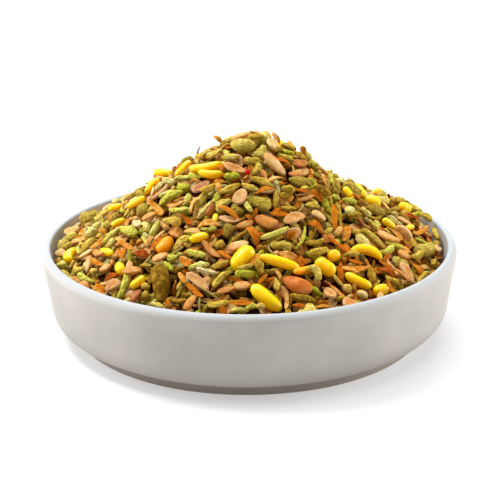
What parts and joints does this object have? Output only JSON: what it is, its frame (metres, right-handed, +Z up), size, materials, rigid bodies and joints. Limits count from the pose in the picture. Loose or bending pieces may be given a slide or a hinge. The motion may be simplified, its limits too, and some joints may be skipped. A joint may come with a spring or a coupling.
{
  "type": "bowl of mukhwas",
  "caption": "Shallow round off-white stoneware bowl on a low foot ring, heaped into a cone with mukhwas: fennel, sugar-coated fennel, split coriander and melon seeds.",
  "frame": {"origin": "centre of the foot ring's resting face", "axes": "+Z up along the bowl's axis; the picture is taken from -Y, looking along +Y and down; +X is to the right in it"},
  "size_m": [0.11, 0.11, 0.0532],
  "materials": {
    "stoneware": "matte warm off-white glaze",
    "seed_mix": "dry seeds, some under a glossy sugar coat"
  },
  "bodies": {
    "root": {"bowl": "stoneware", "mukhwas": "seed_mix"}
  },
  "joints": []
}
